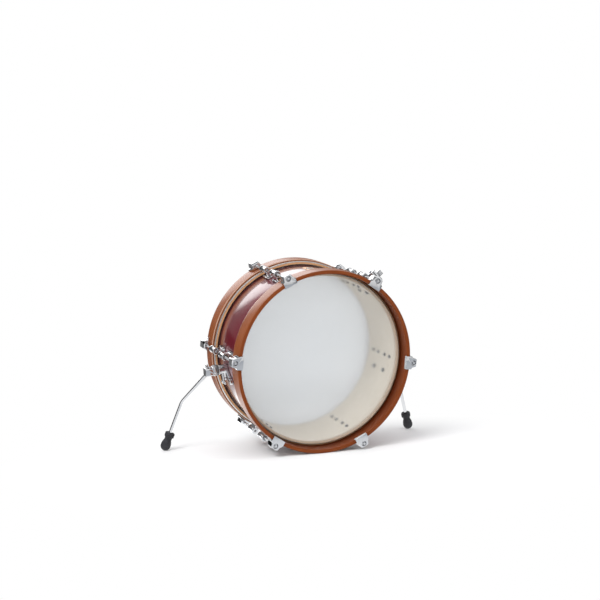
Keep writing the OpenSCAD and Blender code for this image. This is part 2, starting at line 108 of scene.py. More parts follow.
class Tree:
    """A short way to write the nodes of a material or a world."""

    def __init__(self, owner, output="OutputMaterial"):
        owner.use_nodes = True
        self.owner = owner
        self.nodes = owner.node_tree.nodes
        self.links = owner.node_tree.links
        self.nodes.clear()
        self.output = self.add(output)

    def put(self, node, key, value):
        """Sets an input to a value, or links it to another node's output."""
        socket = node.inputs[key]
        if isinstance(value, bpy.types.NodeSocket):
            self.links.new(value, socket)
        elif socket.type == "RGBA" and len(value) == 3:
            socket.default_value = (*value, 1)
        else:
            socket.default_value = value

    def add(self, kind, inputs=(), **settings):
        """A new node with its settings and inputs."""
        node = self.nodes.new("ShaderNode" + kind)
        for key, value in settings.items():
            setattr(node, key, value)
        for key, value in dict(inputs).items():
            self.put(node, key, value)
        return node

    def finish(self, shader):
        """Makes the shader the surface and returns the material or world."""
        self.links.new(shader, self.output.inputs[0])
        return self.owner

    def math(self, operation, a, b=0.0):
        return self.add("Math", {0: a, 1: b}, operation=operation).outputs[0]

    def drum(self):
        """Position in the drum's own frame, whatever the lean."""
        position = self.add("TexCoord").outputs["Object"]
        back = PLACE.inverted()
        mapping = self.add("Mapping", {"Vector": position})
        mapping.inputs["Location"].default_value = back.translation
        mapping.inputs["Rotation"].default_value = back.to_euler()
        return mapping.outputs[0]

    def drum_xyz(self):
        """The same position as three separate outputs."""
        return self.add("SeparateXYZ", {0: self.drum()}).outputs

    def radius(self, xyz):
        """Distance from the drum's axis."""
        return self.math("SQRT", self.math("ADD", self.math("MULTIPLY", xyz[0], xyz[0]),
                                           self.math("MULTIPLY", xyz[2], xyz[2])))

    def round_grain(self, turns, along, across):
        """Coordinates that run with the grain round the drum: (vector, w) for a 4D noise."""
        xyz = self.drum_xyz()
        radius = self.radius(xyz)
        x = self.math("MULTIPLY", self.math("DIVIDE", xyz[0], radius), turns)
        z = self.math("MULTIPLY", self.math("DIVIDE", xyz[2], radius), turns)
        vector = self.add("CombineXYZ", {0: x, 1: self.math("MULTIPLY", xyz[1], along), 2: z})
        return vector.outputs[0], self.math("MULTIPLY", radius, across)

    def noise(self, scale, detail=4.0, rough=0.5, vector=None, w=None, distort=0.0):
        """Noise in 3D, or in 4D where w is given."""
        inputs = {"Scale": scale, "Detail": detail, "Roughness": rough, "Distortion": distort}
        inputs["Vector"] = self.add("TexCoord").outputs["Object"] if vector is None else vector
        if w is None:
            return self.add("TexNoise", inputs).outputs[0]
        inputs["W"] = w
        return self.add("TexNoise", inputs, noise_dimensions="4D").outputs[0]

    def ramp(self, fac, stops):
        node = self.add("ValToRGB", {0: fac})
        points = node.color_ramp.elements
        while len(points) < len(stops):
            points.new(0.5)
        for point, (position, colour) in zip(points, stops):
            point.position = position
            point.color = (*colour, 1)
        return node.outputs[0]

    def spread(self, fac, low, high):
        """Maps 0..1 to low..high."""
        return self.add("MapRange", {0: fac, 3: low, 4: high}).outputs[0]

    def fade(self, value, start, end, smooth=False):
        """0 at start and 1 at end, whichever is larger."""
        kind = "SMOOTHSTEP" if smooth else "LINEAR"
        node = self.add("MapRange", {0: value, 1: start, 2: end}, interpolation_type=kind)
        return node.outputs[0]

    def mix(self, fac, a, b, blend="MIX"):
        node = self.add("Mix", (), data_type="RGBA", blend_type=blend)
        for key, value in ((0, fac), (6, a), (7, b)):
            self.put(node, key, value)
        return node.outputs[2]

    def bump(self, height, strength, distance, normal=None):
        """A bumped normal, laid over another one where it is given."""
        inputs = {"Height": height, "Strength": strength, "Distance": distance}
        if normal is not None:
            inputs["Normal"] = normal
        return self.add("Bump", inputs).outputs[0]

    def surface(self, **inputs):
        names = {key.replace("_", " "): value for key, value in inputs.items()}
        return self.finish(self.add("BsdfPrincipled", names).outputs[0])


# ---------------------------------------------------------------- materials

def wood_hoop_material():
    """Orange-brown stain over straight grain that runs round the hoop, under satin lacquer.
    Painted shade darkens the inner face, more so towards the head, and the end face away from
    the shell. A painted highlight pales the back corner of the outside.
    Only the outside has a coat, which fades where that face is seen edge-on."""
    t = Tree(bpy.data.materials.new("hoop_stained_wood"))
    vector, w = t.round_grain(5.0, 420.0, 420.0)
    fine = t.noise(1.0, 6.0, 0.62, vector, w)
    wide_vector, wide_w = t.round_grain(1.6, 60.0, 60.0)
    wide = t.noise(1.0, 3.0, 0.5, wide_vector, wide_w)
    blotch = t.noise(9.0, 3.0, 0.5)
    pore_vector, pore_w = t.round_grain(34.0, 1500.0, 1500.0)
    pores = t.noise(1.0, 2.0, 0.5, pore_vector, pore_w)
    base = t.ramp(fine, [(0.28, (0.150, 0.036, 0.009)), (0.50, (0.245, 0.068, 0.020)),
                         (0.74, (0.360, 0.115, 0.036))])
    toned = t.mix(t.spread(wide, 0.0, 0.55), base, (0.300, 0.088, 0.026))
    shaded = t.mix(t.spread(blotch, 0.0, 0.35), toned, (0.16, 0.040, 0.011))
    dark_pores = t.ramp(pores, [(0.60, (1, 1, 1)), (0.72, (0.62, 0.55, 0.50))])
    stain_and_shade = t.mix(0.8, shaded, dark_pores, "MULTIPLY")
    xyz = t.drum_xyz()
    radius = t.radius(xyz)
    along = t.math("ABSOLUTE", xyz[1])
    # Painted shade: the end face away from the shell and its rounded corner are darker.
    depth = t.fade(along, HOOP_FRONT * MM, (HOOP_BACK + 6) * MM)
    end_face_shade = t.ramp(depth, [(0.0, (0.80, 0.68, 0.58)), (0.03, (0.82, 0.74, 0.68)),
                               (0.06, (1, 1, 1))])
    stain_and_shade = t.mix(1.0, stain_and_shade, end_face_shade, "MULTIPLY")
    # Painted shade: the inner face darkens towards the head, deepest next to the film.
    dark = t.ramp(depth, [(0.0, (0.84, 0.70, 0.60)), (0.45, (0.62, 0.50, 0.42)),
                          (0.80, (0.34, 0.22, 0.15)), (1.0, (0.26, 0.15, 0.09))])
    inner = t.fade(radius, (HOOP_IN + 1.8) * MM, (HOOP_IN + 0.2) * MM)
    colour = t.mix(inner, stain_and_shade, t.mix(1.0, stain_and_shade, dark, "MULTIPLY"))
    # Painted highlight: a pale line along the back corner of the outside.
    back_edge = t.fade(along, (HOOP_BACK + 2.8) * MM, (HOOP_BACK + 1) * MM)
    painted_edge_highlight = t.fade(radius, (HOOP_OUT - 2.8) * MM, (HOOP_OUT - 0.8) * MM)
    painted_edge_highlight = t.math("MULTIPLY", t.math("MULTIPLY", painted_edge_highlight, back_edge), 0.75)
    colour = t.mix(painted_edge_highlight, colour, (0.60, 0.40, 0.30))
    outside = t.fade(radius, (HOOP_OUT - 1.6) * MM, (HOOP_OUT - 0.6) * MM)
    normal = t.bump(t.math("ADD", fine, t.math("MULTIPLY", pores, -0.6)), 0.10, 0.0006)
    facing = t.add("LayerWeight", {"Blend": 0.5}).outputs["Facing"]
    satin = t.add("MapRange", {0: facing, 1: 0.72, 2: 0.95, 3: 0.52, 4: 0.08}).outputs[0]
    return t.surface(Base_Color=colour, Roughness=t.spread(fine, 0.36, 0.48), Normal=normal,
                     Coat_Weight=t.math("MULTIPLY", outside, satin), Coat_Roughness=0.18,
                     Specular_IOR_Level=0.10)


def covering_material():
    """Deep red gloss covering with a faint depth of colour and a little orange peel.
    It is darker and duller along both edges, in the shade of the hoops."""
    t = Tree(bpy.data.materials.new("covering_deep_red"))
    cloud = t.noise(7.0, 4.0, 0.5)
    fleck = t.noise(900.0, 2.0, 0.6)
    base = t.ramp(cloud, [(0.30, (0.105, 0.006, 0.013)), (0.70, (0.150, 0.010, 0.020))])
    colour = t.mix(t.ramp(fleck, [(0.55, (0, 0, 0)), (0.80, (0.5, 0.5, 0.5))]), base,
                   (0.26, 0.022, 0.035))
    along = t.math("ABSOLUTE", t.drum_xyz()[1])
    edge = t.fade(along, (EDGE_Y - 29) * MM, (EDGE_Y - 20.5) * MM)
    colour = t.mix(t.math("MULTIPLY", edge, 0.85), colour, (0.012, 0.004, 0.006))
    peel = t.bump(t.noise(260.0, 2.0, 0.5), 0.05, 0.0004)
    return t.surface(Base_Color=colour, Roughness=t.spread(cloud, 0.26, 0.34), Normal=peel,
                     Coat_Weight=t.spread(edge, 1.0, 0.25), Coat_Roughness=0.07,
                     Specular_IOR_Level=0.4)


def ply_material():
    """Pale ply whose grain runs round the shell, with painted shade at the batter edge."""
    t = Tree(bpy.data.materials.new("shell_pale_ply"))
    vector, w = t.round_grain(7.0, 190.0, 900.0)
    grain = t.noise(1.0, 5.0, 0.6, vector, w)
    figure_vector, figure_w = t.round_grain(3.0, 26.0, 500.0)
    figure = t.noise(1.0, 3.0, 0.5, figure_vector, figure_w, 0.6)
    rays_vector, rays_w = t.round_grain(60.0, 900.0, 900.0)
    rays = t.noise(1.0, 2.0, 0.5, rays_vector, rays_w)
    base = t.ramp(grain, [(0.28, (0.64, 0.58, 0.48)), (0.55, (0.74, 0.69, 0.60)),
                          (0.80, (0.80, 0.76, 0.68))])
    toned = t.mix(t.spread(figure, 0.0, 0.40), base, (0.70, 0.63, 0.52))
    colour = t.mix(0.5, toned, t.ramp(rays, [(0.55, (1, 1, 1)), (0.78, (0.86, 0.81, 0.74))]),
                   "MULTIPLY")
    # Painted shade: the ply darkens to tan-brown towards the batter edge.
    edge = t.fade(t.drum_xyz()[1], (15 - EDGE_Y) * MM, (1.5 - EDGE_Y) * MM)
    colour = t.mix(t.math("MULTIPLY", edge, 0.85), colour, (0.40, 0.27, 0.17))
    normal = t.bump(grain, 0.12, 0.0005)
    return t.surface(Base_Color=colour, Roughness=t.spread(grain, 0.42, 0.58), Normal=normal,
                     Coat_Weight=0.10, Coat_Roughness=0.25, Specular_IOR_Level=0.3)


def film_material(name, haze_share, tint, haze):
    """Thin plastic film: tinted, a little milky, soft to look through, glossy on both faces.
    Its collar is tinted tan as painted shade. Light from the lamps and from matt surfaces
    goes straight through it."""
    t = Tree(bpy.data.materials.new(name))
    cloud = t.noise(6.0, 3.0, 0.5)
    rays = t.add("LightPath").outputs
    clear = t.add("BsdfTransparent", {"Color": tint}).outputs[0]
    frost = t.add("BsdfRefraction", {"Color": tint, "Roughness": 0.15, "IOR": 1.6}).outputs[0]
    straight = t.math("MAXIMUM", rays["Is Shadow Ray"], rays["Is Diffuse Ray"])
    through = t.add("MixShader", {0: straight, 1: frost, 2: clear}).outputs[0]
    # Painted shade: the collar is tinted tan from the bearing edge out to the channel.
    collar = t.fade(t.radius(t.drum_xyz()), (SHELL_R - 2.5) * MM, (SHELL_R + 1) * MM)
    haze = t.mix(collar, haze, (0.46, 0.36, 0.28))
    milk = t.add("BsdfTranslucent", {"Color": haze}).outputs[0]
    face = t.add("BsdfDiffuse", {"Color": haze, "Roughness": 0.6}).outputs[0]
    body = t.add("MixShader", {0: 0.5, 1: milk, 2: face}).outputs[0]
    share = t.spread(cloud, haze_share * 0.95, haze_share * 1.05)
    share = t.math("MAXIMUM", share, t.math("MULTIPLY", collar, 0.75))
    sheet = t.add("MixShader", {0: share, 1: through, 2: body}).outputs[0]
    gloss = t.add("BsdfGlossy", {"Color": (1, 1, 1), "Roughness": 0.12}).outputs[0]
    fresnel = t.add("Fresnel", {"IOR": 1.5}).outputs[0]
    shine = t.math("MULTIPLY", fresnel, t.spread(straight, 0.6, 0.0))
    return t.finish(t.add("MixShader", {0: shine, 1: sheet, 2: gloss}).outputs[0])


def metal_material(name, colour, rough_low, rough_high, grain=0.0, brushed=False, wave=0.0):
    """Plated or bare metal with slight unevenness in its polish.
    Castings also have a broad wave in their faces, which breaks up what they mirror.
    The brushed metal is the films' channel, whose inside carries painted shade in non-metallic
    amber."""
    t = Tree(bpy.data.materials.new(name))
    smear = t.noise(55.0, 4.0, 0.55)
    cast = t.noise(180.0, 2.0, 0.5)
    if brushed:
        vector, w = t.round_grain(9.0, 3000.0, 3000.0)
        lines = t.noise(1.0, 3.0, 0.6, vector, w)
    else:
        lines = t.noise(1400.0, 2.0, 0.5)
    dim = tuple(c * 0.86 for c in colour)
    base = t.mix(t.spread(smear, 0.0, 0.6), colour, dim)
    normal = t.bump(t.mix(0.5, cast, lines), 0.06 + grain, 0.0003)
    if wave:
        normal = t.bump(t.noise(26.0, 0.0, 0.4), 1.0, wave, normal)
    metallic = 1.0
    if brushed:
        # Painted shade: the inside of the channel turns amber and loses its metal.
        painted_channel_shade = t.fade(t.radius(t.drum_xyz()), (CHANNEL_OUT - 2.4) * MM, (CHANNEL_OUT - 3) * MM)
        base = t.mix(painted_channel_shade, base, (0.72, 0.40, 0.20))
        metallic = t.spread(painted_channel_shade, 1.0, 0.0)
    return t.surface(Base_Color=base, Metallic=metallic, Normal=normal,
                     Roughness=t.spread(smear, rough_low, rough_high))


def rubber_material(name, colour, grain):
    """Moulded rubber: fine grain, dusty high spots and a dull sheen."""
    t = Tree(bpy.data.materials.new(name))
    fine = t.noise(1600.0, 3.0, 0.6)
    dust = t.noise(90.0, 5.0, 0.6)
    dusty = tuple(c * 1.9 + 0.012 for c in colour)
    base = t.mix(t.ramp(dust, [(0.45, (0, 0, 0)), (0.80, (0.6, 0.6, 0.6))]), colour, dusty)
    return t.surface(Base_Color=base, Roughness=t.spread(dust, 0.48, 0.70),
                     Normal=t.bump(fine, grain, 0.0003), Specular_IOR_Level=0.4)


def floor_seen(t, xyz):
    """The pale matt floor, which fades to the white of the background round the drum."""
    soft = t.noise(1.5, 3.0, 0.5)
    colour = t.ramp(soft, [(0.3, (0.80, 0.80, 0.80)), (0.7, (0.83, 0.83, 0.83))])
    ground = t.add("BsdfDiffuse", {"Color": colour, "Roughness": 0.5}).outputs[0]
    white = t.add("Emission", {"Color": (1, 1, 1), "Strength": 1.0}).outputs[0]
    behind = t.math("ADD", xyz[1], t.math("MAXIMUM", xyz[1], 0.0))
    flat = t.add("CombineXYZ", {0: xyz[0], 1: behind, 2: 0.0}).outputs[0]
    out = t.add("VectorMath", {0: flat}, operation="LENGTH").outputs["Value"]
    far = t.fade(out, 0.28, 0.85, smooth=True)
    through_film = t.math("MULTIPLY", t.add("LightPath").outputs["Is Transmission Ray"], 0.8)
    share = t.math("MAXIMUM", far, through_film)
    return t.add("MixShader", {0: share, 1: ground, 2: white}).outputs[0]


def floor_mirrored(t, place, xyz):
    """The floor as glossy surfaces mirror it: grey in front, dark far behind, one bright spot."""
    depth = t.fade(xyz[1], -FLOOR_R, FLOOR_R)
    tone = t.ramp(depth, [(0.0, (0.40, 0.42, 0.45)), (0.35, (0.55, 0.57, 0.60)),
                          (0.52, (1.0, 1.0, 1.0)), (0.70, (0.95, 0.95, 0.95)),
                          (0.82, (0.14, 0.14, 0.14))])
    spot = t.add("VectorMath", {0: place, 1: BRIGHT_SPOT}, operation="DISTANCE").outputs["Value"]
    strength = t.spread(t.fade(spot, 0.22, 0.10), 1.0, 2.4)
    return t.add("Emission", {"Color": tone, "Strength": strength}).outputs[0]


def floor_material():
    t = Tree(bpy.data.materials.new("studio_floor"))
    place = t.add("TexCoord").outputs["Object"]
    xyz = t.add("SeparateXYZ", {0: place}).outputs
    mirrored = t.add("LightPath").outputs["Is Glossy Ray"]
    sides = {0: mirrored, 1: floor_seen(t, xyz), 2: floor_mirrored(t, place, xyz)}
    return t.finish(t.add("MixShader", sides).outputs[0])


MATERIALS = {
    "hoop_wood": wood_hoop_material(),
    "covering": covering_material(),
    "ply": ply_material(),
    "aluminium": metal_material("satin_aluminium", (0.80, 0.79, 0.77), 0.24, 0.36, 0.03, True),
    "chrome": metal_material("polished_chrome", (0.80, 0.81, 0.83), 0.04, 0.10),
    "cast_chrome": metal_material("cast_chrome", (0.80, 0.81, 0.83), 0.04, 0.10, wave=0.0014),
    "steel": metal_material("dull_zinc", (0.30, 0.30, 0.31), 0.26, 0.40, 0.05),
    "seal": rubber_material("seal_rubber", (0.014, 0.014, 0.016), 0.2),
    "foot_rubber": rubber_material("foot_rubber", (0.020, 0.020, 0.024), 0.3),
}
FILMS = {
    "batter": film_material("batter_film", 0.12, (0.98, 0.98, 0.98), (0.80, 0.80, 0.79)),
    "front": film_material("front_film", 0.72, (0.91, 0.925, 0.94), (0.85, 0.875, 0.90)),
}


# ---------------------------------------------------------------- mesh helpers

def mesh_object(name, bm, material, smooth_deg=38):
    """A shaded object from a bmesh whose points are in the row frame."""
    bmesh.ops.recalc_face_normals(bm, faces=bm.faces)
    data = bpy.data.meshes.new(name)
    bm.to_mesh(data)
    bm.free()
    data.polygons.foreach_set("use_smooth", [True] * len(data.polygons))
    data.set_sharp_from_angle(angle=math.radians(smooth_deg))
    data.materials.append(material)
    obj = bpy.data.objects.new(name, data)
    bpy.context.scene.collection.objects.link(obj)
    return obj


def piece(name, bm, node, material=None, smooth_deg=38):
    """A finished piece that stands for one CAD node and moves with its body."""
    obj = mesh_object(name, bm, material or MATERIALS[SLOT_OF[node]], smooth_deg)
    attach(obj, body_of(node))
    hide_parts(node)
    return obj


def rounded(points, radius, steps=5):
    """A closed outline with rounded corners. A point's third value is its own radius."""
    out = []
    for i, point in enumerate(points):
        p = Vector(point[:2])
        r = point[2] if len(point) > 2 else radius
        a = Vector(points[i - 1][:2]) - p
        b = Vector(points[(i + 1) % len(points)][:2]) - p
        angle = a.angle(b)
        if r <= 0 or angle > math.radians(178):
            out.append(tuple(p))
            continue
        reach = min(r / math.tan(angle / 2), a.length * 0.49, b.length * 0.49)
        start, end = p + a.normalized() * reach, p + b.normalized() * reach
        for k in range(steps + 1):
            f = k / steps
            q = start * (1 - f) ** 2 + p * 2 * f * (1 - f) + end * f ** 2
            out.append((q.x, q.y))
    return out


def lathe(bm, profile, steps=288, place=PLACE, closed=True):
    """Turns (radius, y) points about the Y axis of place. A point on the axis becomes a pole."""
    rings = []
    for r, y in profile:
        if r < 1e-7:
            rings.append([bm.verts.new(place @ Vector((0, y, 0)))])
            continue
        turn = [2 * math.pi * k / steps for k in range(steps)]
        rings.append([bm.verts.new(place @ Vector((r * math.cos(a), y, r * math.sin(a))))
                      for a in turn])
    pairs = list(zip(rings, rings[1:]))
    if closed:
        pairs.append((rings[-1], rings[0]))
    for a, b in pairs:
        if len(a) == 1 and len(b) == 1:
            continue
        for k in range(steps):
            n = (k + 1) % steps
            if len(a) == 1:
                bm.faces.new((a[0], b[k], b[n]))
            elif len(b) == 1:
                bm.faces.new((a[k], b[0], a[n]))
            else:
                bm.faces.new((a[k], b[k], b[n], a[n]))
    return bm


def finished(node, bevel_mm, material=None):
    """A copy of a CAD node with its facets merged and its hard edges rounded."""
    bm = bmesh.new()
    bm.from_mesh(frame["nodes"][node].data)
    bmesh.ops.remove_doubles(bm, verts=bm.verts, dist=2e-6)
    bmesh.ops.dissolve_limit(bm, angle_limit=math.radians(0.5), verts=bm.verts, edges=bm.edges,
                             use_dissolve_boundaries=False)
    limit = math.radians(28)
    hard = [e for e in bm.edges if e.is_manifold and e.calc_face_angle(0) > limit]
    bmesh.ops.bevel(bm, geom=hard, offset=bevel_mm * MM, segments=3, profile=0.5,
                    affect="EDGES", clamp_overlap=True)
    bmesh.ops.remove_doubles(bm, verts=bm.verts, dist=1e-6)
    return piece(node + "_finished", bm, node, material)


def at_angle(degrees):
    """The local frame of a spot on the shell: X out, Y along the drum, Z round the shell."""
    return PLACE @ Matrix.Rotation(-math.radians(degrees), 4, "Y")


# ---------------------------------------------------------------- camera

CAMERA_AT = Vector((-1.2278, -2.9597, 0.6794))
YAW, DOWN, ROLL = math.radians(-22.11), math.radians(9.50), math.radians(1.24)
FIELD = math.radians(27.63)


def make_camera():
    """The photograph's view of the drum, given in the drum's own level frame."""
    look = Vector((-math.sin(YAW) * math.cos(DOWN), math.cos(YAW) * math.cos(DOWN),
                   -math.sin(DOWN)))
    right = Vector((math.cos(YAW), math.sin(YAW), 0))
    up = right.cross(look)
    tilted_right = math.cos(ROLL) * right + math.sin(ROLL) * up
    tilted_up = math.cos(ROLL) * up - math.sin(ROLL) * right
    turn = Matrix((tilted_right, tilted_up, -look)).transposed().to_4x4()
    data = bpy.data.cameras.new("camera")
    data.sensor_width = 36
    data.lens = data.sensor_width / 2 / math.tan(FIELD / 2)
    data.clip_start, data.clip_end = 0.05, 60
    camera = bpy.data.objects.new("camera", data)
    bpy.context.scene.collection.objects.link(camera)
    camera.matrix_world = PLACE @ Matrix.Translation(CAMERA_AT) @ turn
    bpy.context.scene.camera = camera


make_camera()

# ---------------------------------------------------------------- shell, heads and hoops

def screw_holes(bm):
    """Cutters for the screw holes and the vent through the shell and its covering.
    Each spot is an angle round the shell, a place along the drum and a radius."""
    spots = [(60 * i + LUG_TURN, y, 2.5) for i in range(6) for y in (-50, -20, 20, 50)]
    spots += [(a, y, 2.9) for a in (SPUR_SCREWS_AT, 180 - SPUR_SCREWS_AT) for y in (-26, 30)]
    spots += [(ACCESSORY_AT, -52, 2.9), (ACCESSORY_AT, -8, 2.9)]
    spots.append((90, 0, 6.5))
    for angle, y, r in spots:
        place = at_angle(angle) @ Matrix.Translation((SHELL_R * MM, y * MM, 0))
        place = place @ Matrix.Rotation(math.radians(90), 4, "Y")
        bmesh.ops.create_cone(bm, cap_ends=True, segments=24, radius1=r * MM, radius2=r * MM,
                              depth=0.03, matrix=place)


def cut_holes(obj):
    """Cuts the screw holes out of a shell layer."""
    bm = bmesh.new()
    screw_holes(bm)
    cutter = mesh_object("cutter", bm, obj.data.materials[0])
    boolean = obj.modifiers.new("holes", "BOOLEAN")
    boolean.object = cutter
    boolean.solver = "EXACT"
    graph = bpy.context.evaluated_depsgraph_get()
    data = bpy.data.meshes.new_from_object(obj.evaluated_get(graph))
    obj.modifiers.clear()
    obj.data = data
    data.polygons.foreach_set("use_smooth", [True] * len(data.polygons))
    data.set_sharp_from_angle(angle=math.radians(38))
    bpy.data.objects.remove(cutter)


def turned(name, profile, radius, steps, node, sign=1, around=288):
    """A piece turned from (radius, y) points in millimetres, with its corners rounded."""
    points = [(r * MM, sign * y * MM) for r, y in rounded(profile, radius, steps)]
    return piece(name, lathe(bmesh.new(), points, around), node)


def make_shell():
    """The ply, with the slopes of its bearing edges, and the covering wrapped round it."""
    slope = 4.6
    ply = [(BORE_R, slope - EDGE_Y, 0.8), (BORE_R + slope, -EDGE_Y, 1.0), (PLY_R, -EDGE_Y, 1.2),
           (PLY_R, EDGE_Y, 1.2), (BORE_R + slope, EDGE_Y, 1.0), (BORE_R, EDGE_Y - slope, 0.8)]
    cut_holes(turned("ply_shell", ply, 1.0, 5, "shell"))
    end = EDGE_Y - 4
    sheet = [(PLY_R, -end), (SHELL_R, -end), (SHELL_R, end), (PLY_R, end)]
    cut_holes(turned("red_covering", sheet, 0.15, 2, "shell_covering"))


def make_hoop(side):
    """Wooden hoop with softened corners. Its faces are crowned by a hair."""
    middle = (HOOP_IN + HOOP_OUT) / 2
    profile = [(HOOP_IN, HOOP_BACK, 1.4), (middle, HOOP_BACK - 0.1, 0),
               (HOOP_OUT, HOOP_BACK + 0.2, 2.4), (HOOP_OUT, 107, 0),
               (HOOP_OUT - 0.2, HOOP_FRONT, 2.4), (middle, HOOP_FRONT, 0),
               (HOOP_IN + 0.2, HOOP_FRONT - 0.1, 1.8)]
    turned(side + "_wood_hoop", profile, 2.4, 7, side + "_hoop", SIDES[side], 320)


def make_flesh_hoop(side):
    """Metal channel that holds the film, with a rolled outer lip."""
    profile = [(CHANNEL_IN, CHANNEL_BACK, 0.8), (CHANNEL_OUT, CHANNEL_BACK, 1.6),
               (CHANNEL_OUT, CHANNEL_END, 1.2), (235.4, CHANNEL_END, 0.6), (235.4, 78.4, 0.6),
               (231.4, 78.4, 0.6), (231.4, 81.6, 0.5), (CHANNEL_IN, 81.6, 0.5)]
    turned(side + "_flesh_channel", profile, 0.8, 4, side + "_flesh_hoop", SIDES[side], 320)


def make_head(side):
    """One film: flat over the edge of the shell, with a rounded collar down to the channel."""
    under = [(0, EDGE_Y), (222, EDGE_Y), (226.6, EDGE_Y - 0.1), (228.2, EDGE_Y - 1.1),
             (229.0, EDGE_Y - 3.2), (229.3, EDGE_Y - 6.0), (229.3, 79.6), (230.6, 79.0),
             (231.2, 79.0)]
    under = [Vector(point) for point in under]
    over = []
    for i, point in enumerate(under):
        along = under[min(i + 1, len(under) - 1)] - under[max(i - 1, 0)]
        over.append(point + Vector((-along.y, along.x)).normalized() * FILM_THICK)
    points = [(p.x * MM, SIDES[side] * p.y * MM) for p in over + under[::-1]]
    bm = lathe(bmesh.new(), points, closed=False)
    piece(side + "_film", bm, side + "_head", FILMS[side], 50)


# ---------------------------------------------------------------- rods, legs and feet

def threaded(bm, y_from, y_to, place, sign, steps=14, pitch=1.0):
    """A screw thread about Y, as rings whose radius follows a helix."""
    count = int(round((y_to - y_from) / pitch * 4)) + 1
    rings = []
    for k in range(count):
        y = y_from + (y_to - y_from) * k / (count - 1)
        ring = []
        for s in range(steps):
            a = 2 * math.pi * s / steps
            phase = ((y - y_from) / pitch + s / steps) % 1.0
            r = (ROD_R - 0.02 - THREAD_DEPTH * (1 - abs(2 * phase - 1))) * MM
            ring.append(bm.verts.new(place @ Vector((r * math.cos(a), sign * y * MM,
                                                     r * math.sin(a)))))
        rings.append(ring)
    for a, b in zip(rings, rings[1:]):
        for s in range(steps):
            n = (s + 1) % steps
            bm.faces.new((a[s], b[s], b[n], a[n]))
    bm.faces.new(rings[0])
    bm.faces.new(rings[-1][::-1])


def square_head(bm, place):
    """Adds a key rod's square head with softened edges."""
    head = bmesh.new()
    bmesh.ops.create_cube(head, size=1.0)
    bmesh.ops.scale(head, vec=Vector((6, 7.4, 6)) * MM, verts=head.verts)
    bmesh.ops.bevel(head, geom=head.edges[:], offset=0.55 * MM, segments=3, profile=0.5,
                    affect="EDGES")
    bmesh.ops.transform(head, matrix=place, verts=head.verts)
    data = bpy.data.meshes.new("head")
    head.to_mesh(data)
    head.free()
    bm.from_mesh(data)
    bpy.data.meshes.remove(data)


def make_rod(side, i):
    """Key rod: thread, plain shank, flange and square head."""
    sign = SIDES[side]
    place = at_angle(60 * (i - 1) + LUG_TURN) @ Matrix.Translation((ROD_AXIS_R, 0, 0))
    bm = bmesh.new()
    threaded(bm, 28, 92, place, sign)
    shank = rounded([(0, 91.5, 0), (ROD_R, 91.5), (ROD_R, 127.4, 0.6), (5.6, 127.2, 0.4),
                     (5.6, 128.9, 0.7), (3.4, 129.1, 0.3), (0, 129.1, 0)], 0.4, 3)
    lathe(bm, [(r * MM, sign * y * MM) for r, y in shank], 28, place)
    square_head(bm, place @ Matrix.Translation((0, sign * 132.7 * MM, 0)))
    piece(f"{side}_key_rod_{i}", bm, f"{side}_tension_rod_{i}", None, 34)


# The spurs, in millimetres, and in degrees for SPUR_ANGLE, by which a spur's own frame is
# turned down round the shell. X points out of the shell there.
SPUR_ANGLE = 7
LEG_AT = Vector((278.3, 2, 0))
SPLAY = math.radians(25)
LEG_UPPER, LEG_HEAD, FOOT_R = 139, 13, 13.5


def leg_direction(lean_deg):
    """A direction that splays outwards and leans down towards the front."""
    lean = math.radians(lean_deg)
    return Vector((math.sin(SPLAY), math.cos(SPLAY) * math.cos(lean),
                   -math.cos(SPLAY) * math.sin(lean)))


UPPER, LOWER = leg_direction(47), leg_direction(82)
BEND_AT = LEG_AT + LEG_UPPER * UPPER


def rise(p):
    """Height of a point in a spur's frame above the drum's axis, in millimetres."""
    spur = math.radians(SPUR_ANGLE)
    return p.y * math.sin(LEAN) + (p.z * math.cos(spur) - p.x * math.sin(spur)) * math.cos(LEAN)


LEG_LOWER = (FOOT_R - AXIS_H * 1000 - rise(BEND_AT)) / rise(LOWER)
FOOT_AT = BEND_AT + LEG_LOWER * LOWER


def spur_frame(side):
    mirror = Matrix.Scale(SPURS[side], 4, (1, 0, 0))
    return PLACE @ mirror @ Matrix.Rotation(math.radians(SPUR_ANGLE), 4, "Y")


def foot_frame(side):
    """Z points up the leg from the centre of the foot's round end."""
    turn = (-LOWER).to_track_quat("Z", "Y").to_matrix().to_4x4()
    return spur_frame(side) @ Matrix.Translation(FOOT_AT * MM) @ turn


def sweep(bm, path, radii, steps=28):
    """A round bar through points, without twist, closed at both ends."""
    rings = []
    x_axis = None
    for k, point in enumerate(path):
        before, after = path[max(k - 1, 0)], path[min(k + 1, len(path) - 1)]
        along = (after - before).normalized()
        if x_axis is None:
            x_axis = along.orthogonal().normalized()
        x_axis = (x_axis - along * x_axis.dot(along)).normalized()
        y_axis = along.cross(x_axis)
        turn = [2 * math.pi * s / steps for s in range(steps)]
        rings.append([bm.verts.new(point + radii[k] * (math.cos(a) * x_axis + math.sin(a) * y_axis))
                      for a in turn])
    for a, b in zip(rings, rings[1:]):
        for s in range(steps):
            n = (s + 1) % steps
            bm.faces.new((a[s], b[s], b[n], a[n]))
    bm.faces.new(rings[0])
    bm.faces.new(rings[-1][::-1])


